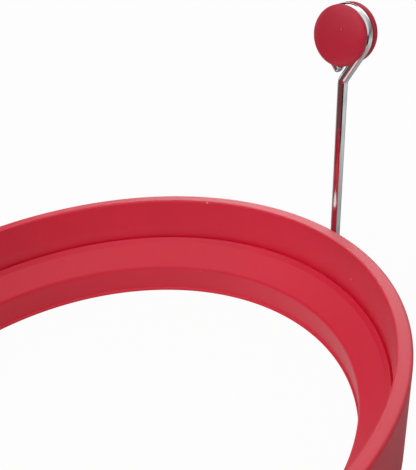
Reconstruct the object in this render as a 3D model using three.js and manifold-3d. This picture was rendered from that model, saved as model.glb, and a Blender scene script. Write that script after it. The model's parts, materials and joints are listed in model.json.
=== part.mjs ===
// Egg ring: a stepped silicone ring with a fold-down wire handle and a silicone grip.
// Millimetres, +Z up, +X from the ring towards its handle. The ring stands on Z = 0.
import * as THREE from 'three';
import { mergeVertices } from 'three/addons/utils/BufferGeometryUtils.js';
import Module from 'manifold-3d';

const wasm = await Module();
wasm.setup();

// Ring, in section from the outer wall to the hole
const ringHeight = 18;
const rimRadius = 51;            // outer edge of the rim
const wallDraft = 1.6;           // the outer wall draws in this much down to the base
const rimWidth = 2.4;            // flat top of the rim
const innerDraft = 0.9;          // the inner wall comes in this much down to the ledge
const ledgeWidth = 5.1;          // foot of the inner wall to the ledge's free edge
const ledgeHeight = 5.6;         // base to the ledge's free edge
const ledgeRise = 4;             // the ledge climbs this much outwards
const skirtRelief = 0.9;         // the wall under the ledge opens out downwards
const lipWidth = 0.8;            // thin lip that meets the pan
const lipHeight = 0.5;
const rimRound = 0.6;
const creaseRound = 0.5;
const ledgeRound = 0.7;
const baseRound = 0.9;

// Hinge lug, moulded on the outer wall
const hingeStandOff = 3.1;       // hinge axis beyond the rim's outer edge
const hingeHeight = 7.8;         // hinge axis above the base
const lugWidth = 7;
const lugSkin = 1.4;             // silicone around the bore
const lugFlare = 1.7;            // the root is this much taller than the nose, above and below
const lugRoot = 0.3;             // the root is sunk this deep where the wall falls away most
const lugRound = 0.5;
const pinClearance = 0.25;       // bore to wire
const sideClearance = 0.4;       // lug's faces to the wire's bends

// Handle, one bent steel wire
const wireDiameter = 1.75;
const handleReach = 42.9;        // hinge axis to the centre of the eye
const neckDrop = 7.8;            // centre of the eye down to the bend at the neck
const eyeEndDrop = 5.6;          // centre of the eye down to the wire's free end
const eyeEndGap = 0.3;           // free end to the neck
const footBend = 1.8;
const neckBend = 1.2;
const tailLength = 3.6;          // turned-up end that keeps the pin in the lug
const lean = THREE.MathUtils.degToRad(8.4);
const eyeTurn = THREE.MathUtils.degToRad(14.6);

// Grip, one silicone spool held in the eye
const waistRadius = 3.1;
const discRadius = 5.1;
const rimPitch = 3.5;            // between the widest circles of the two discs
const domeRise = 1.25;           // from a disc's widest circle out to its crown
const discRound = 0.6;           // edge of each disc beside the groove
const crownShare = 0.55;         // how far the flat of the crown pulls the dome outwards
const brimShare = 0.6;           // how far the upright of the brim pulls the dome up
const markRadius = 0.3;          // small moulding mark on the front face
const markRise = 0.05;           // its top is this much above the crown
const markAside = 1;             // it lies off the middle, to the side and up
const markUp = 1.3;
const gripClearance = 0.3;       // grip to wire, all round

// Fineness of the round forms
const ringSegments = 96;
const gripSegments = 40;
const wireSides = 14;
const wireSteps = 150;
const boreSides = 28;
const markSides = 12;
const domeSteps = 7;
const curveSteps = 4;
const noseSteps = 8;
const overrun = 1;               // cutters run past what they cut

// Places that follow from the sizes
const wireRadius = wireDiameter / 2;
const boreRadius = wireRadius + pinClearance;
const baseRadius = rimRadius - wallDraft;
const hingeRadius = rimRadius + hingeStandOff;
const lugStart = footBend + sideClearance;
const pinLength = lugStart + lugWidth + sideClearance + footBend;
const eyeRadius = waistRadius + gripClearance + wireRadius;
const brim = rimPitch / 2;
const crown = brim + domeRise;
const grooveSide = wireRadius + gripClearance;

const silicone = { color: 0xc5303f, roughness: 0.48, metalness: 0 };
const steel = { color: 0xcfd2d6, roughness: 0.12, metalness: 1 };

// A path with one straight stretch to each corner, each corner eased by its own round
function easedOutline(corners) {
  const path = new THREE.Path();
  const count = corners.length;
  corners.forEach(([x, y, round], i) => {
    const corner = new THREE.Vector2(x, y);
    const before = new THREE.Vector2(...corners[(i + count - 1) % count]).sub(corner).setLength(round);
    const after = new THREE.Vector2(...corners[(i + 1) % count]).sub(corner).setLength(round);
    const enter = before.add(corner);
    const leave = after.add(corner);
    if (i === 0) path.moveTo(enter.x, enter.y);
    else path.lineTo(enter.x, enter.y);
    if (round > 0) path.quadraticCurveTo(x, y, leave.x, leave.y);
  });
  path.closePath();
  return path.getPoints(curveSteps);
}

function toSolid(geometry) {
  const bare = geometry.clone();
  bare.deleteAttribute('normal');
  bare.deleteAttribute('uv');
  const merged = mergeVertices(bare);
  return new wasm.Manifold(new wasm.Mesh({
    numProp: 3,
    vertProperties: new Float32Array(merged.attributes.position.array),
    triVerts: new Uint32Array(merged.index.array),
  }));
}

function toGeometry(solid) {
  const mesh = solid.getMesh();
  const geometry = new THREE.BufferGeometry();
  geometry.setAttribute('position', new THREE.BufferAttribute(mesh.vertProperties, 3));
  geometry.setIndex(new THREE.BufferAttribute(mesh.triVerts, 1));
  return geometry;
}

function piece(name, geometry, look) {
  geometry.computeVertexNormals();
  const mesh = new THREE.Mesh(geometry, new THREE.MeshStandardMaterial(look));
  mesh.name = name;
  return mesh;
}

// Stepped section of the ring: outer wall, rim, inner wall, sloping ledge, relieved skirt, lip
function ringSection() {
  const rimInner = rimRadius - rimWidth;
  const crease = rimInner - innerDraft;
  const ledgeEdge = crease - ledgeWidth;
  const skirtFoot = ledgeEdge + skirtRelief;
  const lipEdge = skirtFoot - lipWidth;
  return easedOutline([
    [lipEdge, 0, 0],
    [baseRadius, 0, baseRound],
    [rimRadius, ringHeight, rimRound],
    [rimInner, ringHeight, rimRound],
    [crease, ledgeHeight + ledgeRise, creaseRound],
    [ledgeEdge, ledgeHeight, ledgeRound],
    [skirtFoot, lipHeight, 0],
    [lipEdge, lipHeight, 0],
  ]);
}

function turned(points, segments) {
  const profile = points.map((point) => new THREE.Vector2(point.x, point.y));
  return new THREE.LatheGeometry(profile, segments).rotateX(Math.PI / 2);
}

// Lug seen from the side: a round nose about the hinge axis on a taller root in the wall
function lugOutline() {
  const noseRadius = boreRadius + lugSkin;
  const rootHalf = noseRadius + lugFlare;
  const root = Math.sqrt(baseRadius ** 2 - (lugStart + lugWidth) ** 2) - lugRoot;
  const shape = new THREE.Shape();
  shape.moveTo(root, hingeHeight - rootHalf);
  shape.lineTo(hingeRadius, hingeHeight - noseRadius);
  shape.absarc(hingeRadius, hingeHeight, noseRadius, -Math.PI / 2, Math.PI / 2, false);
  shape.lineTo(root, hingeHeight + rootHalf);
  shape.closePath();
  return shape;
}

function lugBlock() {
  const block = new THREE.ExtrudeGeometry(lugOutline(), {
    depth: lugWidth - 2 * lugRound,
    bevelThickness: lugRound,
    bevelSize: lugRound,
    bevelOffset: -lugRound,
    bevelSegments: curveSteps,
    curveSegments: noseSteps,
  });
  return block.rotateX(Math.PI / 2).translate(0, lugStart + lugWidth - lugRound, 0);
}

function lugBore() {
  const bore = new THREE.CylinderGeometry(boreRadius, boreRadius, lugWidth + 2 * overrun, boreSides);
  return bore.translate(hingeRadius, lugStart + lugWidth / 2, hingeHeight);
}

function ringBody() {
  const ring = toSolid(turned(ringSection(), ringSegments));
  return toGeometry(ring.add(toSolid(lugBlock())).subtract(toSolid(lugBore())));
}

// A round bend about a centre, starting at an arm from it and turning towards a heading
class Bend extends THREE.Curve {
  constructor(centre, arm, heading, angle) {
    super();
    this.centre = centre;
    this.arm = arm;
    this.side = heading.clone().setLength(arm.length());
    this.angle = angle;
  }

  getPoint(t, target = new THREE.Vector3()) {
    const turn = t * this.angle;
    return target.copy(this.centre)
      .addScaledVector(this.arm, Math.cos(turn))
      .addScaledVector(this.side, Math.sin(turn));
  }
}

// Goes straight towards a corner and leaves it for the next point along a round bend
function bendAt(path, from, corner, next, radius) {
  const heading = corner.clone().sub(from).normalize();
  const leaving = next.clone().sub(corner).normalize();
  const angle = heading.angleTo(leaving);
  const reach = radius * Math.tan(angle / 2);
  const start = corner.clone().addScaledVector(heading, -reach);
  const inwards = leaving.clone().addScaledVector(heading, -leaving.dot(heading)).setLength(radius);
  const centre = start.clone().add(inwards);
  const bend = new Bend(centre, inwards.clone().negate(), heading, angle);
  path.add(new THREE.LineCurve3(from, start));
  path.add(bend);
  return bend.getPoint(1);
}

// Centre line of the wire, from the hinge axis: tail, pin, shaft, neck, eye and free end
function wireRoute() {
  const across = new THREE.Vector3(Math.sin(eyeTurn), -Math.cos(eyeTurn), 0);
  const eyeCentre = new THREE.Vector3(0, 0, handleReach);
  const inEye = (u, v) => eyeCentre.clone().addScaledVector(across, u).setZ(handleReach + v);

  // Both straight sides of the eye are tangents of its round part
  const neckAngle = Math.asin(eyeRadius / neckDrop);
  const roundStart = -neckAngle;
  const neckLine = (neckDrop - eyeEndDrop) * Math.tan(neckAngle);
  const endAcross = neckLine - (wireDiameter + eyeEndGap) / Math.cos(neckAngle);
  const endBearing = Math.atan2(-eyeEndDrop, endAcross) + 2 * Math.PI;
  const roundEnd = endBearing - Math.acos(eyeRadius / Math.hypot(endAcross, eyeEndDrop));
  const onRound = (angle) => inEye(eyeRadius * Math.cos(angle), eyeRadius * Math.sin(angle));

  const tailEnd = new THREE.Vector3(0, pinLength, tailLength);
  const tailCorner = new THREE.Vector3(0, pinLength, 0);
  const footCorner = new THREE.Vector3(0, 0, 0);
  const neckCorner = inEye(0, -neckDrop);
  const meets = onRound(roundStart);
  const heading = meets.clone().sub(neckCorner);

  const path = new THREE.CurvePath();
  const pinStart = bendAt(path, tailEnd, tailCorner, footCorner, footBend);
  const shaftStart = bendAt(path, pinStart, footCorner, neckCorner, footBend);
  const neckEnd = bendAt(path, shaftStart, neckCorner, meets, neckBend);
  path.add(new THREE.LineCurve3(neckEnd, meets));
  path.add(new Bend(eyeCentre, meets.clone().sub(eyeCentre), heading, roundEnd - roundStart));
  path.add(new THREE.LineCurve3(onRound(roundEnd), inEye(endAcross, -eyeEndDrop)));
  return path;
}

function handleWire() {
  const section = new THREE.Shape();
  section.absarc(0, 0, wireRadius, 0, 2 * Math.PI, false);
  return new THREE.ExtrudeGeometry(section, {
    steps: wireSteps,
    curveSegments: wireSides / 2,
    extrudePath: wireRoute(),
  });
}

// Half of the spool's section: dome, rounded brim, then the groove down to the waist
function gripHalf() {
  const dome = new THREE.CubicBezierCurve(
    new THREE.Vector2(0, crown),
    new THREE.Vector2(crownShare * discRadius, crown),
    new THREE.Vector2(discRadius, brim + brimShare * domeRise),
    new THREE.Vector2(discRadius, brim),
  );
  const edge = new THREE.QuadraticBezierCurve(
    new THREE.Vector2(discRadius, brim),
    new THREE.Vector2(discRadius, grooveSide),
    new THREE.Vector2(discRadius - discRound, grooveSide),
  );
  return [
    ...dome.getPoints(domeSteps),
    ...edge.getPoints(curveSteps).slice(1),
    new THREE.Vector2(waistRadius, grooveSide),
  ];
}

// The spool is the same on both faces, but for the mark on the front
function gripSpool() {
  const back = gripHalf();
  const front = back.map((point) => new THREE.Vector2(point.x, -point.y)).reverse();
  const spool = new THREE.LatheGeometry(back.concat(front).reverse(), gripSegments);
  const mark = new THREE.CylinderGeometry(markRadius, markRadius, crown, markSides);
  mark.translate(markAside, -(crown / 2 + markRise), markUp);
  return toGeometry(toSolid(spool).add(toSolid(mark)));
}

const handleGroup = new THREE.Group();
handleGroup.position.set(hingeRadius, 0, hingeHeight);
handleGroup.rotation.y = lean;
handleGroup.add(piece('handle_wire', handleWire(), steel));

const grip = piece('grip', gripSpool(), silicone);
grip.position.z = handleReach;
grip.rotation.set(0, 0, eyeTurn - Math.PI / 2);
handleGroup.add(grip);

const eggRing = new THREE.Group();
eggRing.add(piece('ring_body', ringBody(), silicone), handleGroup);

// The origin is the bottom centre of the whole object's box
const box = new THREE.Box3().setFromObject(eggRing, true);
eggRing.position.x = -(box.min.x + box.max.x) / 2;
eggRing.updateMatrixWorld(true);

export default eggRing;
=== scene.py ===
import json
import math

import bmesh
import bpy
from mathutils import Matrix, Vector


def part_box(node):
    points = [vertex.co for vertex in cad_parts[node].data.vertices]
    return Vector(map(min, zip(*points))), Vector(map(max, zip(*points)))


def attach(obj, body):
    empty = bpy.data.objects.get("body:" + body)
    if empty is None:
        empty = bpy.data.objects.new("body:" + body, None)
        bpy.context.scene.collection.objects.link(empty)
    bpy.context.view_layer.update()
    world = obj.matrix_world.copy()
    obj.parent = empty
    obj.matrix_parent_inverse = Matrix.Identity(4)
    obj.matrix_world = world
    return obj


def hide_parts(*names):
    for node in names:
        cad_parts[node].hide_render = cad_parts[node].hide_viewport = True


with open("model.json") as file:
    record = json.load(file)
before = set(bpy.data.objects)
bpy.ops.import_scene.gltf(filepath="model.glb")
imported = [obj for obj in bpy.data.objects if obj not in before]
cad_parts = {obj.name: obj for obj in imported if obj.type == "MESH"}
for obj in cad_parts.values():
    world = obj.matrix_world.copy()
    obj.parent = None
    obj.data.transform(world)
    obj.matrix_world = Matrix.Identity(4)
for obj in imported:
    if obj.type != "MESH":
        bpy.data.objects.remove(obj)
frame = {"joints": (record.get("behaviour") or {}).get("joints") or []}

# Egg ring: a stepped silicone ring, a bent steel wire handle and a silicone grip. Metres, +Z up.
print("frame loaded")
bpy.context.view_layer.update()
joints = {joint["name"]: joint for joint in frame["joints"]}
hingePoint = Vector(joints["handle_fold"]["pos_m"])
gripPoint = Vector(joints["grip_turn"]["pos_m"])
gripAxis = Vector(joints["grip_turn"]["axis"]).normalized()
ringLow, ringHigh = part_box("ring_body")
ringCentre = Vector((ringLow.x + (ringHigh.y - ringLow.y) / 2, 0, 0))
upwards = Vector((0, 0, 1))


# Camera

cameraSetup = {
    "distance": 0.10481,        # from the ring's axis, level
    "height": 0.09084,
    "aroundDeg": -19.2,         # round the ring from -Y towards -X
    "yawDeg": 13.41,            # looks this far to the right of the ring's axis
    "downDeg": 32.46,
    "rollDeg": -9.05,
    "focalPixels": 800.5,
    "photoPixels": (416, 470),
    "axisPixel": (225.5, 280.5),    # where the lens looks straight ahead
    "nearest": 0.005,           # nothing closer to the lens is drawn
}


def placeCamera(setup):
    bpy.ops.object.camera_add()
    camera = bpy.context.object
    camera.name = "photoCamera"
    wide, tall = setup["photoPixels"]
    camera.data.lens = setup["focalPixels"] / tall * camera.data.sensor_width
    camera.data.shift_x = (wide / 2 - setup["axisPixel"][0]) / tall
    camera.data.shift_y = (setup["axisPixel"][1] - tall / 2) / tall
    camera.data.clip_start = setup["nearest"]
    around = math.radians(setup["aroundDeg"])
    level = Vector((math.sin(around), -math.cos(around), 0)) * setup["distance"]
    heading = around - math.radians(setup["yawDeg"])
    turn = (Matrix.Rotation(heading, 4, "Z")
            @ Matrix.Rotation(math.radians(90 - setup["downDeg"]), 4, "X")
            @ Matrix.Rotation(math.radians(setup["rollDeg"]), 4, "Z"))
    camera.matrix_world = Matrix.Translation(ringCentre + level + upwards * setup["height"]) @ turn
    bpy.context.scene.camera = camera


placeCamera(cameraSetup)
bpy.context.scene.view_settings.view_transform = "Standard"
print("camera placed")


# Shader maths

class Socket:
    # wraps a node's output, so that sums and products on it read as plain maths
    def __init__(self, output):
        self.output = output

    def node(self, kind, settings={}, inputs={}, result=0):
        tree = self.output.id_data
        made = tree.nodes.new(kind)
        for name, value in settings.items():
            if name == "stops":
                for number, (place, shade) in enumerate(value):
                    stops = made.color_ramp.elements
                    stop = stops[number] if number < len(stops) else stops.new(place)
                    stop.position = place
                    stop.color = shade
            else:
                setattr(made, name, value)
        for name, value in inputs.items():
            if isinstance(value, Socket):
                tree.links.new(value.output, made.inputs[name])
            else:
                made.inputs[name].default_value = value
        return Socket(made.outputs[result])

    def maths(self, operation, *values):
        return self.node("ShaderNodeMath", {"operation": operation}, dict(enumerate(values)))

    def __add__(self, other):
        return self.maths("ADD", self, other)

    def __sub__(self, other):
        return self.maths("SUBTRACT", self, other)

    def __rsub__(self, other):
        return self.maths("SUBTRACT", other, self)

    def __mul__(self, other):
        return self.maths("MULTIPLY", self, other)

    __radd__ = __add__
    __rmul__ = __mul__

    def rise(self, start, end):
        # 0 below start, 1 above end, smooth between
        return self.node("ShaderNodeMapRange", {"interpolation_type": "SMOOTHSTEP"},
                         {"Value": self, "From Min": start, "From Max": end})

    def blend(self, plain, marked):
        # colour that goes from plain to marked as this value goes from 0 to 1
        return self.node("ShaderNodeMix", {"data_type": "RGBA"}, {0: self, 6: plain, 7: marked}, 2)

    def noise(self, place, scale, detail=2.0, roughness=0.5):
        return self.node("ShaderNodeTexNoise", {},
                         {"Vector": place, "Scale": scale, "Detail": detail, "Roughness": roughness})


def emptyTree(owner, kind):
    # clears the nodes of a material or a world and gives it a new output node
    owner.use_nodes = True
    tree = owner.node_tree
    tree.nodes.clear()
    return tree, tree.nodes.new(kind)


def rays(tree):
    # 1 for rays from the camera, for reflections and for what passes through
    path = tree.nodes.new("ShaderNodeLightPath")
    return [Socket(path.outputs[name]) for name in
            ("Is Camera Ray", "Is Glossy Ray", "Is Transmission Ray")]


def newMaterial(name):
    # a material with its surface node and the piece's own coordinates
    material = bpy.data.materials.new(name)
    tree, finish = emptyTree(material, "ShaderNodeOutputMaterial")
    surface = tree.nodes.new("ShaderNodeBsdfPrincipled")
    tree.links.new(surface.outputs[0], finish.inputs["Surface"])
    place = Socket(tree.nodes.new("ShaderNodeTexCoord").outputs["Object"])
    return material, surface, place


def plug(surface, **values):
    # settings and links of the surface node, by its sockets' names without spaces
    names = {socket.name.replace(" ", ""): socket for socket in surface.inputs}
    for name, value in values.items():
        if isinstance(value, Socket):
            surface.id_data.links.new(value.output, names[name])
        else:
            names[name].default_value = value


# Silicone

siliconeLook = {
    "colour": (0.72, 0.006, 0.038, 1),
    "deepColour": (0.67, 0.005, 0.034, 1),
    "dustColour": (0.75, 0.28, 0.30, 1),
    "speckColour": (0.20, 0.006, 0.014, 1),
    "roughness": 0.48,
    "grainRoughness": 0.10,     # how much the grain and the clouds change it
    "cloudRoughness": 0.06,
    "refraction": 1.42,
    "sheen": 1.0,               # strength of the reflections
    "softness": 0.12,           # share of the light that goes into the silicone
    "lightReach": (0.0022, 0.0005, 0.0005),    # and how deep it goes there
    "cloudScale": 38,           # clouds of colour, per metre
    "cloudEdges": (0.35, 0.65),
    "grainScale": 5200,         # satin grain of the mould
    "grainHeight": 0.000012,
    "swellScale": 90,           # slight unevenness of the surface
    "swellHeight": 0.00005,
    # scale in cells per metre, size of a spot in its cell and of its full core, share of cells with one
    "specks": {"scale": 150, "size": 0.035, "core": 0.6, "share": 0.16, "strength": 0.7},
    "dust": {"scale": 405, "size": 0.06, "core": 0.6, "share": 0.10, "strength": 0.35},
    "paleCore": 0.5,            # share of a pale spot's reach that is fully pale
}


def siliconeMaterial(name, look, centre, marks):
    material, surface, place = newMaterial(name)
    local = place.node("ShaderNodeMapping", {}, {"Vector": place, "Location": -centre})
    cloud = place.noise(local, look["cloudScale"], 3.0)
    grain = place.noise(local, look["grainScale"], 2.0, 0.7)
    swell = place.noise(local, look["swellScale"], 1.0)

    # pale dust and moulding specks, each in some of its own cells
    def spots(kind):
        cells = place.node("ShaderNodeTexVoronoi", {}, {"Vector": local, "Scale": kind["scale"]})
        hue = cells.node("ShaderNodeSeparateColor", {}, {0: Socket(cells.output.node.outputs["Color"])})
        chosen = hue.rise(1 - kind["share"], 1.0001 - kind["share"])    # nearly a hard step
        return (1 - cells.rise(kind["size"] * kind["core"], kind["size"])) * chosen * kind["strength"]

    colour = cloud.rise(*look["cloudEdges"]).blend(look["deepColour"], look["colour"])
    colour = spots(look["dust"]).blend(colour, look["dustColour"])
    colour = spots(look["specks"]).blend(colour, look["speckColour"])
    # each listed spot is painted paler, towards the dust colour
    for spot, reach in marks:
        away = place.node("ShaderNodeVectorMath", {"operation": "DISTANCE"}, {0: local, 1: spot}, 1)
        colour = (1 - away.rise(reach * look["paleCore"], reach)).blend(colour, look["dustColour"])
    rough = look["roughness"] + (grain - 0.5) * look["grainRoughness"]
    rough = rough + (cloud - 0.5) * look["cloudRoughness"]
    bump = place.node("ShaderNodeBump", {}, {"Height": swell, "Distance": look["swellHeight"]})
    bump = place.node("ShaderNodeBump", {}, {"Height": grain, "Distance": look["grainHeight"],
                                             "Normal": bump})
    plug(surface, BaseColor=colour, Roughness=rough, Normal=bump, IOR=look["refraction"],
         SpecularIORLevel=look["sheen"], SubsurfaceWeight=look["softness"],
         SubsurfaceRadius=look["lightReach"], SubsurfaceScale=1.0)
    return material


# Steel

steelLook = {
    "colour": (0.80, 0.81, 0.82, 1),
    "dullColour": (0.66, 0.67, 0.69, 1),
    "edgeTint": (0.30, 0.30, 0.32, 1),     # painted shade: reflections darkened where the wire turns away, for its dark outlines
    "roughness": 0.06,
    "drawnScale": 2600,         # fine lines from drawing the wire
    "drawnSqueeze": 0.05,       # scale of their pattern along Z, so that they run up the shaft
    "drawnHeight": 0.000002,
    "drawnRoughness": 0.06,
    "drawnEdges": (0.45, 0.8),
    "smearScale": 240,          # dull smears
    "smearEdges": (0.5, 0.75),
    "smearRoughness": 0.07,
    "smearRoughEdges": (0.5, 0.8),
}


def steelMaterial(name, look):
    material, surface, place = newMaterial(name)
    along = place.node("ShaderNodeMapping", {}, {"Vector": place, "Location": -hingePoint,
                                                 "Scale": Vector((1, 1, look["drawnSqueeze"]))})
    drawn = place.noise(along, look["drawnScale"], 2.0, 0.6)
    smear = place.noise(place, look["smearScale"], 3.0)
    colour = smear.rise(*look["smearEdges"]).blend(look["colour"], look["dullColour"])
    rough = look["roughness"] + drawn.rise(*look["drawnEdges"]) * look["drawnRoughness"]
    rough = rough + smear.rise(*look["smearRoughEdges"]) * look["smearRoughness"]
    bump = place.node("ShaderNodeBump", {}, {"Height": drawn, "Distance": look["drawnHeight"]})
    # the edge tint paints dark outlines along the wire by darkening its grazing reflections
    plug(surface, BaseColor=colour, Roughness=rough, Metallic=1.0, SpecularTint=look["edgeTint"],
         Normal=bump)
    return material


# the grip is given a darker red than the ring
gripLook = dict(siliconeLook, colour=(0.56, 0.009, 0.039, 1), deepColour=(0.52, 0.008, 0.036, 1),
                dustColour=(0.62, 0.075, 0.10, 1))
paleSpots = [                   # places from the ring's axis, and how far each spot reaches
    (Vector((0.04251, 0.02356, 0.0178)), 0.00030),
    (Vector((0.04634, -0.01285, 0.0132)), 0.00022),
    (Vector((0.04055, -0.02524, 0.0102)), 0.00020),
    (Vector((0.03683, -0.03068, 0.0118)), 0.00016),
]
ringSilicone = siliconeMaterial("ringSilicone", siliconeLook, ringCentre, paleSpots)
wireSteel = steelMaterial("wireSteel", steelLook)
print("materials ready")


# Modelling by hand: loops are extruded and resized, corners bevelled

slack = 1e-5                    # how far off its place a picked edge may lie
mergeGap = 1e-7                 # corners closer together than this are merged


def startLoop(name, centre, along, radius, sides):
    bpy.ops.object.select_all(action="DESELECT")
    bpy.ops.mesh.primitive_circle_add(vertices=sides, radius=radius, location=centre,
                                      rotation=along.to_track_quat("Z", "Y").to_euler())
    piece = bpy.context.object
    piece.name = name
    piece.data.name = name
    bpy.ops.object.mode_set(mode="EDIT")
    bpy.ops.mesh.select_mode(type="EDGE")
    bpy.ops.mesh.select_all(action="SELECT")
    return piece


def nextLoop(step, centre, growth=1):
    bpy.ops.mesh.extrude_region_move(TRANSFORM_OT_translate={"value": step})
    if growth != 1:
        bpy.ops.transform.resize(value=(growth, growth, growth), center_override=centre)


def pick(kind, test):
    # selects the edges or faces that pass the test
    bpy.ops.mesh.select_mode(type=kind)
    bpy.ops.mesh.select_all(action="DESELECT")
    mesh = bpy.context.edit_object.data
    shape = bmesh.from_edit_mesh(mesh)
    found = shape.edges if kind == "EDGE" else shape.faces
    world = bpy.context.edit_object.matrix_world
    for part in found:
        middle = sum((corner.co for corner in part.verts), Vector()) / len(part.verts)
        if test(world @ middle, part):
            part.select_set(True)
    bmesh.update_edit_mesh(mesh)


def bevelLoop(radius, height, offset, segments):
    # rounds the ring's corner that lies at this radius and height
    def onEdge(middle, edge):
        ends = [corner.co for corner in edge.verts]
        return (all(abs(math.hypot(end.x, end.y) - radius) < slack for end in ends)
                and all(abs(end.z - height) < slack for end in ends))

    pick("EDGE", onEdge)
    bpy.ops.mesh.bevel(offset=offset, segments=segments, affect="EDGES")


def combine(piece, other, operation):
    # cuts the other shape out of the piece, or joins it on, and ends in edit mode
    bpy.ops.object.mode_set(mode="OBJECT")
    bpy.ops.object.select_all(action="DESELECT")
    piece.select_set(True)
    bpy.context.view_layer.objects.active = piece
    bpy.ops.object.modifier_add(type="BOOLEAN")
    modifier = piece.modifiers[-1]
    modifier.operation = operation
    modifier.object = other
    bpy.ops.object.modifier_apply(modifier=modifier.name)
    bpy.data.objects.remove(other)
    bpy.ops.object.mode_set(mode="EDIT")


def finishPiece(piece, node, body, material, sharpDeg):
    bpy.ops.mesh.select_all(action="SELECT")
    bpy.ops.mesh.remove_doubles(threshold=mergeGap)
    bpy.ops.mesh.normals_make_consistent(inside=False)
    bpy.ops.object.mode_set(mode="OBJECT")
    bpy.ops.object.transform_apply(location=True, rotation=True, scale=True)
    bpy.ops.object.shade_smooth_by_angle(angle=math.radians(sharpDeg))
    bpy.ops.object.modifier_add(type="WEIGHTED_NORMAL")
    piece.modifiers[-1].keep_sharp = True
    bpy.ops.object.modifier_apply(modifier=piece.modifiers[-1].name)
    piece.data.materials.clear()
    piece.data.materials.append(material)
    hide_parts(node)
    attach(piece, body)
    print(piece.name, "done,", len(piece.data.polygons), "faces")


# Ring

ring = {
    "height": 0.018,
    "rimRadius": 0.051,
    "wallDraft": 0.0016,
    "rimWidth": 0.0024,
    "innerDraft": 0.0009,
    "ledgeWidth": 0.0051,
    "ledgeHeight": 0.0056,
    "ledgeRise": 0.004,
    "skirtRelief": 0.0002,
    "lipWidth": 0.0004,
    "lipHeight": 0.00035,
    "lipFlare": 0.00025,        # the lip's top climbs this much out to the skirt
    "baseRound": 0.0009,
    "rimRound": 0.0006,
    "rimInnerRound": 0.0004,
    "footHeight": 0.0116,       # the inner wall's foot is undercut from here down to the crease
    "footRound": 0.0011,
    "undercut": 0.00045,
    "undercutHeight": 0.00955,
    "undercutRound": 0.0001,
    "stripTop": (0.0001, 0.0099),    # steep strip between the crease and the ledge
    "stripWidth": 0.0008,
    "stripRound": 0.00008,
    "ledgeRound": 0.0005,
    "lipRound": 0.00015,
    "lipFoot": 0.0002,
    "lugStart": 0.0022,         # from the hinge point along the pin
    "lugWidth": 0.007,
    "lugNose": 0.002525,        # round nose about the hinge pin
    "lugNoseSteps": 24,
    "lugNoseGap": 0.00015,      # the wall's draft sets the spun row this far off at most
    "lugRootHalf": 0.004225,
    "lugPull": 0.004,           # drawn out this far, and then levelled at the hinge pin
    "lugSide": 0.016,           # the wall is cut only within this far of the ring's middle
    "lugRound": 0.0005,
    "lugRoundSteps": 4,
    "lugRoundFrom": 0.0003,     # the lug's edges are rounded from this far outside the rim
    "lugCorner": 0.5,           # where its faces meet at a larger angle than this, in radians
    "boreRadius": 0.001125,
    "boreSides": 64,
    "boreLength": 1.4,          # the cutter's, in widths of the lug
    "boreRound": 0.00018,
    "boreRoundSteps": 3,
    "roundSteps": 6,
    "sides": 256,
    "sharpDeg": 40,
}


def addLug(piece, size):
    # a patch of the outer wall is drawn out to the hinge pin, its end is spun round the pin and bored
    near = hingePoint.y + size["lugStart"]
    far = near + size["lugWidth"]
    low = hingePoint.z - size["lugRootHalf"]
    high = hingePoint.z + size["lugRootHalf"]
    nose = size["lugNose"]
    wallTop = size["height"] - size["rimRound"]

    def outside(middle, radius):
        return middle.x > 0 and math.hypot(middle.x - ringCentre.x, middle.y) > radius

    def onWall(middle, face):
        return (outside(middle, size["rimRadius"] - size["wallDraft"])
                and abs(middle.y) < size["lugSide"] and size["baseRound"] < middle.z < wallTop)

    def onPatch(middle, face):
        return onWall(middle, face) and near < middle.y < far and low < middle.z < high

    # cuts along the four sides of the patch
    for place, normal in (((0, near, 0), (0, 1, 0)), ((0, far, 0), (0, 1, 0)),
                          ((0, 0, low), (0, 0, 1)), ((0, 0, high), (0, 0, 1))):
        pick("FACE", onWall)
        bpy.ops.mesh.bisect(plane_co=place, plane_no=normal)

    pick("FACE", onPatch)
    bpy.ops.mesh.extrude_region_move(TRANSFORM_OT_translate={"value": (size["lugPull"], 0, 0)})
    bpy.ops.transform.resize(value=(0, 1, 1), center_override=hingePoint)
    bpy.ops.transform.resize(value=(1, 1, nose / size["lugRootHalf"]), center_override=hingePoint)
    bpy.ops.mesh.delete(type="FACE")

    def corners(edge):
        return [piece.matrix_world @ corner.co for corner in edge.verts]

    def pickRow(height):
        # the row of edges level with the pin in X and at this height in Z
        pick("EDGE", lambda middle, edge: all(
            abs(c.x - hingePoint.x) < slack and abs(c.z - height) < slack for c in corners(edge)))

    # the nose: the open top row turns about the hinge pin down to the bottom one
    pickRow(hingePoint.z + nose)
    bpy.ops.mesh.spin(steps=size["lugNoseSteps"], angle=-math.pi, center=hingePoint, axis=(0, 1, 0))
    pickRow(hingePoint.z - nose)
    bpy.ops.mesh.remove_doubles(threshold=size["lugNoseGap"])
    bpy.ops.mesh.select_all(action="SELECT")
    bpy.ops.mesh.fill_holes(sides=0)
    bpy.ops.mesh.normals_make_consistent(inside=False)

    def onSide(middle, edge):
        aside = min(abs(middle.y - near), abs(middle.y - far)) < slack
        return (aside and outside(middle, size["rimRadius"] + size["lugRoundFrom"])
                and len(edge.link_faces) == 2 and edge.calc_face_angle() > size["lugCorner"])

    pick("EDGE", onSide)
    bpy.ops.mesh.bevel(offset=size["lugRound"], segments=size["lugRoundSteps"], affect="EDGES")

    bpy.ops.object.mode_set(mode="OBJECT")
    bpy.ops.mesh.primitive_cylinder_add(vertices=size["boreSides"], radius=size["boreRadius"],
                                        depth=size["lugWidth"] * size["boreLength"],
                                        location=(hingePoint.x, (near + far) / 2, hingePoint.z),
                                        rotation=(math.pi / 2, 0, 0))
    combine(piece, bpy.context.object, "DIFFERENCE")

    def onBore(middle, edge):
        return all(abs(math.hypot(c.x - hingePoint.x, c.z - hingePoint.z) - size["boreRadius"]) < slack
                   and min(abs(c.y - near), abs(c.y - far)) < slack for c in corners(edge))

    pick("EDGE", onBore)
    bpy.ops.mesh.bevel(offset=size["boreRound"], segments=size["boreRoundSteps"], affect="EDGES")


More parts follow.
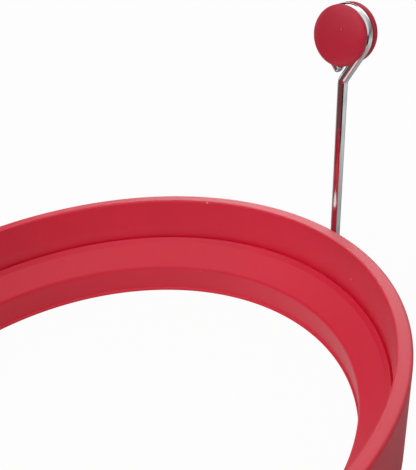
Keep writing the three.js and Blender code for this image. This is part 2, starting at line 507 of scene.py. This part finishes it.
def makeRing(size):
    top = size["height"]
    base = size["rimRadius"] - size["wallDraft"]
    rimInner = size["rimRadius"] - size["rimWidth"]
    crease = rimInner - size["innerDraft"]
    ledgeEdge = crease - size["ledgeWidth"]
    skirtFoot = ledgeEdge + size["skirtRelief"]
    lipEdge = skirtFoot - size["lipWidth"]
    ledgeTop = size["ledgeHeight"] + size["ledgeRise"]
    footOut = size["innerDraft"] * (size["footHeight"] - ledgeTop) / (top - ledgeTop)
    stripFoot = ledgeTop - size["ledgeRise"] * size["stripWidth"] / size["ledgeWidth"]
    corners = [                 # radius, height and how far the corner is rounded
        (lipEdge, 0, size["lipRound"]),
        (base, 0, size["baseRound"]),
        (size["rimRadius"], top, size["rimRound"]),
        (rimInner, top, size["rimInnerRound"]),
        (crease + footOut, size["footHeight"], size["footRound"]),
        (crease + size["undercut"], size["undercutHeight"], size["undercutRound"]),
        (crease - size["stripTop"][0], size["stripTop"][1], size["stripRound"]),
        (crease - size["stripWidth"], stripFoot, size["stripRound"]),
        (ledgeEdge, size["ledgeHeight"], size["ledgeRound"]),
        (skirtFoot, size["lipHeight"] + size["lipFlare"], size["lipFoot"]),
        (lipEdge, size["lipHeight"], size["lipRound"]),
    ]
    piece = startLoop("stepped_ring", ringCentre, upwards, lipEdge, size["sides"])
    radius, height = lipEdge, 0
    for nextRadius, nextHeight, _ in corners[1:] + corners[:1]:
        step = upwards * (nextHeight - height)
        nextLoop(step, ringCentre + upwards * nextHeight, nextRadius / radius)
        radius, height = nextRadius, nextHeight
    bpy.ops.mesh.select_all(action="SELECT")
    bpy.ops.mesh.remove_doubles(threshold=mergeGap)
    for radius, height, offset in corners:
        bevelLoop(radius, height, offset, size["roundSteps"])
    addLug(piece, size)
    finishPiece(piece, "ring_body", "ring", ringSilicone, size["sharpDeg"])


makeRing(ring)


# Handle: wire, from its turned-up tail along the hinge pin, up the shaft and round the eye

handle = {
    "diameter": 0.00175,
    "reach": 0.0429,            # hinge to the eye's centre
    "leanDeg": 8.4,
    "eyeTurnDeg": 14.6,
    "eyeRadius": 0.004275,
    "neckDrop": 0.0078,         # from the eye's centre down to the neck
    "endDrop": 0.00585,         # and down to the wire's free end
    "endGap": 0.00005,          # left between the free end and the neck's line
    "pinLength": 0.0114,
    "tailLength": 0.0036,
    "footBend": 0.0018,
    "neckBend": 0.0019,
    "bendSteps": 12,
    "neckSteps": 10,
    "eyeSteps": 72,
    "tipLength": 0.6,           # of a rounded end, in radii of the wire
    "tipFlat": 0.1,             # share of the wire's thickness at the very end
    "tipSteps": 6,
    "sides": 32,
    "sharpDeg": 60,
}


def makeHandle(size):
    wireRadius = size["diameter"] / 2
    eyeTurn = math.radians(size["eyeTurnDeg"])
    lean = Matrix.Translation(hingePoint) @ Matrix.Rotation(math.radians(size["leanDeg"]), 4, "Y")
    across = Vector((math.sin(eyeTurn), -math.cos(eyeTurn), 0))
    eyeRadius = size["eyeRadius"]

    def inEye(sideways, up):
        return lean @ (across * sideways + upwards * (size["reach"] + up))

    eyeCentre = inEye(0, 0)
    neckAngle = math.asin(eyeRadius / size["neckDrop"])
    neckLine = (size["neckDrop"] - size["endDrop"]) * math.tan(neckAngle)
    endAcross = neckLine - (size["diameter"] + size["endGap"]) / math.cos(neckAngle)
    endBearing = math.atan2(-size["endDrop"], endAcross) + 2 * math.pi
    eyeStops = endBearing - math.acos(eyeRadius / math.hypot(endAcross, size["endDrop"]))
    eyeStarts = -neckAngle

    def onRound(angle):
        return inEye(eyeRadius * math.cos(angle), eyeRadius * math.sin(angle))

    tailEnd = lean @ Vector((0, size["pinLength"], size["tailLength"]))
    tailCorner = lean @ Vector((0, size["pinLength"], 0))
    footCorner = lean @ Vector()
    neckCorner = inEye(0, -size["neckDrop"])
    meets = onRound(eyeStarts)
    freeEnd = inEye(endAcross, -size["endDrop"])

    def roundEnd(tip, share, shoulder, outwards, numbers):
        # loops along a quarter round, from the full wire at 0 to its end at tipSteps
        for number in numbers:
            angle = math.pi / 2 * number / size["tipSteps"]
            place = shoulder + outwards * wireRadius * math.sin(angle) * size["tipLength"]
            nextShare = max(math.cos(angle), size["tipFlat"])
            nextLoop(place - tip, place, nextShare / share)
            tip, share = place, nextShare
        return tip

    first = (tailCorner - tailEnd).normalized()
    piece = startLoop("bent_handle", tailEnd, first, wireRadius * size["tipFlat"], size["sides"])
    shoulder = tailEnd + first * wireRadius * size["tipLength"]
    tip = roundEnd(tailEnd, size["tipFlat"], shoulder, -first, range(size["tipSteps"] - 1, -1, -1))

    def bendTowards(corner, onward, radius, steps):
        heading = (corner - tip).normalized()
        leaving = (onward - corner).normalized()
        angle = heading.angle(leaving)
        start = corner - heading * radius * math.tan(angle / 2)
        nextLoop(start - tip, start)
        centre = start + (leaving - heading * leaving.dot(heading)).normalized() * radius
        axis = heading.cross(leaving).normalized()
        bpy.ops.mesh.spin(steps=steps, angle=-angle, center=centre, axis=axis)
        return corner + leaving * radius * math.tan(angle / 2)

    tip = bendTowards(tailCorner, footCorner, size["footBend"], size["bendSteps"])
    tip = bendTowards(footCorner, neckCorner, size["footBend"], size["bendSteps"])
    tip = bendTowards(neckCorner, meets, size["neckBend"], size["neckSteps"])
    nextLoop(meets - tip, meets)
    axis = (meets - eyeCentre).cross(meets - neckCorner).normalized()
    bpy.ops.mesh.spin(steps=size["eyeSteps"], angle=eyeStarts - eyeStops, center=eyeCentre, axis=axis)
    tip = onRound(eyeStops)
    nextLoop(freeEnd - tip, freeEnd)
    roundEnd(freeEnd, 1, freeEnd, (freeEnd - tip).normalized(), range(1, size["tipSteps"] + 1))
    bpy.ops.mesh.select_all(action="DESELECT")
    bpy.ops.mesh.select_non_manifold()
    bpy.ops.mesh.edge_face_add()
    finishPiece(piece, "handle_wire", "handle", wireSteel, size["sharpDeg"])


makeHandle(handle)


# Grip: spool of two domed discs

grip = {
    "waistRadius": 0.0031,
    "discRadius": 0.0051,
    "rimPitch": 0.0035,
    "domeRise": 0.00125,
    "edgeRound": 0.0006,
    "grooveHalf": 0.001175,
    "markRadius": 0.0003,       # moulding mark on the front face
    "markRise": 0.00007,
    "markPale": 0.00022,
    "markAside": 0.001,
    "markUp": 0.0013,
    "markSides": 32,
    "crownShare": 0.55,         # how far out the dome stays nearly flat
    "brimShare": 0.6,           # and how high it still is over the brim
    "crownHole": 0.00002,       # radius of the outline's first loop
    "domeSteps": 24,
    "edgeSteps": 8,
    "waistSteps": 4,
    "sides": 128,
    "sharpDeg": 50,
}


def curvePoint(points, t):
    # a point of the curve that these control points draw
    while len(points) > 1:
        points = [a.lerp(b, t) for a, b in zip(points, points[1:])]
    return points[0]


def gripOutline(size):
    brim = size["rimPitch"] / 2
    crown = brim + size["domeRise"]
    disc = size["discRadius"]
    groove = size["grooveHalf"]
    dome = [Vector((size["crownHole"], crown)), Vector((size["crownShare"] * disc, crown)),
            Vector((disc, brim + size["brimShare"] * size["domeRise"])), Vector((disc, brim))]
    edge = [dome[-1], Vector((disc, groove)), Vector((disc - size["edgeRound"], groove))]
    waist = [edge[-1], Vector((size["waistRadius"], groove))]
    half = []
    for curve, steps in ((dome, size["domeSteps"]), (edge, size["edgeSteps"]), (waist, size["waistSteps"])):
        half += [curvePoint(curve, step / steps) for step in range(steps)]
    half.append(waist[-1])
    return half + [Vector((point.x, -point.y)) for point in reversed(half)]


def makeGrip(size):
    outline = gripOutline(size)
    radius, height = outline[0]
    piece = startLoop("grip_spool", gripPoint + gripAxis * height, gripAxis, radius, size["sides"])
    for nextRadius, nextHeight in outline[1:]:
        nextLoop(gripAxis * (nextHeight - height), gripPoint + gripAxis * nextHeight, nextRadius / radius)
        radius, height = nextRadius, nextHeight
    bpy.ops.mesh.select_all(action="DESELECT")
    bpy.ops.mesh.select_non_manifold()
    bpy.ops.mesh.edge_face_add()

    # the mark is a flat bead set in the front dome
    turn = gripAxis.to_track_quat("Z", "Y").to_euler()
    sideways = gripAxis.cross(upwards).normalized()
    top = sideways.cross(gripAxis)
    crown = size["rimPitch"] / 2 + size["domeRise"]
    place = gripPoint - gripAxis * crown + sideways * size["markAside"] + top * size["markUp"]
    bpy.ops.object.mode_set(mode="OBJECT")
    bpy.ops.mesh.primitive_uv_sphere_add(segments=size["markSides"], ring_count=size["markSides"] // 2,
                                         radius=size["markRadius"], location=place, rotation=turn)
    bead = bpy.context.object
    bpy.ops.transform.resize(value=(1, 1, size["markRise"] / size["markRadius"]), orient_type="LOCAL")
    combine(piece, bead, "UNION")
    # the bead's spot is painted paler too
    paleMark = [(place - gripPoint, size["markPale"])]
    gripSilicone = siliconeMaterial("gripSilicone", gripLook, gripPoint, paleMark)
    finishPiece(piece, "grip", "grip_knob", gripSilicone, size["sharpDeg"])


makeGrip(grip)


# Floor and light

stageLook = {
    "floorSize": 6,
    "floorColour": (0.52, 0.52, 0.52, 1),
    "floorWhite": 0.97,         # how far the floor goes to white where the camera sees it
    # the floor as reflections see it is painted: a brighter pool inside the ring, a dark contact shadow
    # beside it, dimmer further out, darkest behind
    "holeShine": 0.74,          # and where reflections see it, inside the ring
    "holeReach": (0.044, 0.048),
    "edgeShine": 0.06,          # a painted contact shadow right beside its outer wall
    "edgeReach": (0.085, 0.13),
    "nearShine": 0.45,          # around the ring
    "nearReach": (0.15, 0.26),
    "farShine": 0.12,           # and further out
    "behindShine": 0.02,        # painted dark behind the ring
    "behindReach": (0.06, 0.08),
    "worldStrength": 0.2,
    "whiteWall": (1, 1, 1, 1),
    "darkWall": (0.10, 0.10, 0.10, 1),
    "lowEdge": (0.2, 0.8),      # from dark to white along the foot of the walls
    "middleEdge": (-0.9, 0.9),  # and further up, softer
    "lowTop": (0.2, 0.32),      # where the one goes over into the other, by the direction's height
    "ceilingEdge": (0.5, 0.7),
    "frontStops": [             # shades in front from low to high, by the direction's height
        (0.35, (0.06, 0.06, 0.06, 1)), (0.50, (0.14, 0.14, 0.14, 1)), (0.65, (0.32, 0.32, 0.32, 1)),
        (0.80, (0.55, 0.55, 0.55, 1)), (0.92, (0.85, 0.85, 0.85, 1)), (0.97, (1, 1, 1, 1)),
    ],
    "frontEdge": (-0.35, 0.35),
    "glowTowards": Vector((-0.6, -0.6, 0.53)),    # a pale glow hangs front left
    "glowEdge": (0.70, 0.97),
    "glowColour": (0.85, 0.85, 0.85, 1),
}


def makeStage(look):
    bpy.ops.object.select_all(action="DESELECT")
    bpy.ops.mesh.primitive_plane_add(size=look["floorSize"], location=(0, 0, 0))
    floor = bpy.context.object
    floor.name = "floor"
    material = bpy.data.materials.new("floor")
    tree, finish = emptyTree(material, "ShaderNodeOutputMaterial")
    camera, glossy, passing = rays(tree)
    place = Socket(tree.nodes.new("ShaderNodeTexCoord").outputs["Object"])
    away = place.node("ShaderNodeVectorMath", {"operation": "DISTANCE"}, {0: place, 1: ringCentre}, 1)
    # painted light and shade on the floor where reflections see it
    shine = look["holeShine"] + away.rise(*look["holeReach"]) * (look["edgeShine"] - look["holeShine"])
    shine = shine + away.rise(*look["edgeReach"]) * (look["nearShine"] - look["edgeShine"])
    shine = shine + away.rise(*look["nearReach"]) * (look["farShine"] - look["nearShine"])
    behind = place.node("ShaderNodeSeparateXYZ", {}, {0: place}, 1).rise(*look["behindReach"])
    shine = shine + behind * (look["behindShine"] - shine)
    seen = camera.maths("MINIMUM", camera + glossy * shine + passing, 1)
    plain = camera.node("ShaderNodeBsdfDiffuse", {}, {"Color": look["floorColour"]})
    white = camera.node("ShaderNodeEmission", {}, {"Color": (1, 1, 1, 1), "Strength": 1.0})
    bright = camera.node("ShaderNodeMixShader", {}, {0: look["floorWhite"], 1: plain, 2: white})
    surface = camera.node("ShaderNodeMixShader", {}, {0: seen, 1: plain, 2: bright})
    tree.links.new(surface.output, finish.inputs["Surface"])
    floor.data.materials.append(material)

    world = bpy.data.worlds.new("studio")
    bpy.context.scene.world = world
    tree, finish = emptyTree(world, "ShaderNodeOutputWorld")
    camera, glossy, passing = rays(tree)
    direction = Socket(tree.nodes.new("ShaderNodeTexCoord").outputs["Generated"])
    x, y, z = (direction.node("ShaderNodeSeparateXYZ", {}, {0: direction}, axis) for axis in range(3))
    # reflections see white walls behind and to the right, a white ceiling and a dim studio in front
    low = (x + y).rise(*look["lowEdge"]).blend(look["darkWall"], look["whiteWall"])
    middle = x.rise(*look["middleEdge"]).blend(look["darkWall"], look["whiteWall"])
    shade = z.rise(*look["lowTop"]).blend(low, middle)
    shade = z.rise(*look["ceilingEdge"]).blend(shade, look["whiteWall"])
    front = z.node("ShaderNodeValToRGB", {"stops": look["frontStops"]}, {0: z * 0.5 + 0.5})
    towards = direction.node("ShaderNodeVectorMath", {"operation": "DOT_PRODUCT"},
                             {0: direction, 1: look["glowTowards"]}, 1)
    front = towards.rise(*look["glowEdge"]).blend(front, look["glowColour"])
    shade = y.rise(*look["frontEdge"]).blend(front, shade)
    soft = camera.node("ShaderNodeBackground", {}, {"Color": (1, 1, 1, 1), "Strength": look["worldStrength"]})
    mirrored = camera.node("ShaderNodeBackground", {}, {"Color": shade, "Strength": 1.0})
    white = camera.node("ShaderNodeBackground", {}, {"Color": (1, 1, 1, 1), "Strength": 1.0})
    surface = camera.node("ShaderNodeMixShader", {}, {0: glossy, 1: soft, 2: mirrored})
    surface = camera.node("ShaderNodeMixShader", {}, {0: camera + passing, 1: surface, 2: white})
    tree.links.new(surface.output, finish.inputs["Surface"])


makeStage(stageLook)


# Glowing cards that only reflections see, painting reflections into the steel: a dark red one beyond the
# ring, a painted red reflection of silicone, and black ones in front and over the eye, painted dark lines

cards = {
    "redRadius": 0.085,
    "redHeight": 0.045,
    "redSides": 96,
    "redColour": (0.19, 0.050, 0.055, 1),
    "redFromX": 0.02,           # the red card bends round the ring's left side between these two cuts
    "redFromY": -0.080,
    "blackColour": (0.012, 0.010, 0.011, 1),
}
blackCards = [
    {"name": "frontCard", "place": (-0.010, -0.097, 0.025), "size": (0.06, 0.05), "turnDeg": (90, 0, -35)},
    {"name": "eyeCard", "place": (0.0593, 0.0133, 0.0694), "size": (0.034, 0.015), "turnDeg": (-45, 0, -20)},
]


def makeCard(card, name, colour):
    card.name = name
    material = bpy.data.materials.new(name)
    tree, finish = emptyTree(material, "ShaderNodeOutputMaterial")
    glow = tree.nodes.new("ShaderNodeEmission")
    glow.inputs["Color"].default_value = colour
    tree.links.new(glow.outputs[0], finish.inputs["Surface"])
    card.data.materials.append(material)
    for way in ("camera", "diffuse", "transmission", "volume_scatter", "shadow"):
        setattr(card, "visible_" + way, False)


bpy.ops.object.select_all(action="DESELECT")
bpy.ops.mesh.primitive_cylinder_add(vertices=cards["redSides"], radius=cards["redRadius"],
                                    depth=cards["redHeight"], end_fill_type="NOTHING",
                                    location=ringCentre + upwards * cards["redHeight"] / 2)
bpy.ops.object.mode_set(mode="EDIT")
bpy.ops.mesh.select_all(action="SELECT")
bpy.ops.mesh.bisect(plane_co=(cards["redFromX"], 0, 0), plane_no=(1, 0, 0), clear_outer=True)
bpy.ops.mesh.select_all(action="SELECT")
bpy.ops.mesh.bisect(plane_co=(0, cards["redFromY"], 0), plane_no=(0, 1, 0), clear_inner=True)
bpy.ops.object.mode_set(mode="OBJECT")
makeCard(bpy.context.object, "redCard", cards["redColour"])

for card in blackCards:
    bpy.ops.mesh.primitive_plane_add(size=1, location=card["place"],
                                     rotation=[math.radians(turn) for turn in card["turnDeg"]])
    bpy.ops.transform.resize(value=(*card["size"], 1), orient_type="LOCAL")
    makeCard(bpy.context.object, card["name"], cards["blackColour"])


# Lamps, all aimed at the origin; only the mirrored ones show in reflections

lamps = [
    {"name": "overhead", "place": (0, 0, 0.8), "size": 0.5, "power": 0.6, "mirrored": True},
    {"name": "rearOverhead", "place": (0, 0.45, 0.65), "size": 0.4, "power": 0.25, "mirrored": True},
    {"name": "rearRight", "place": (0.5, 0.5, 0.4), "size": 0.4, "power": 1.75, "mirrored": True},
    {"name": "rearLeft", "place": (-0.5, 0.5, 0.4), "size": 0.4, "power": 0.45, "mirrored": False},
    {"name": "left", "place": (-0.7, 0, 0.45), "size": 0.5, "power": 1.75, "mirrored": False},
    {"name": "right", "place": (0.7, 0, 0.45), "size": 0.5, "power": 0.65, "mirrored": True},
    {"name": "frontLeft", "place": (-0.5, -0.5, 0.45), "size": 0.5, "power": 2.05, "mirrored": False},
]


def makeLamp(lamp):
    bpy.ops.object.light_add(type="AREA", location=lamp["place"])
    light = bpy.context.object
    light.name = lamp["name"]
    light.data.size = lamp["size"]
    light.data.energy = lamp["power"]
    light.visible_glossy = lamp["mirrored"]
    light.rotation_euler = (Vector() - Vector(lamp["place"])).to_track_quat("-Z", "Y").to_euler()


for lamp in lamps:
    makeLamp(lamp)
print("stage and lamps set")
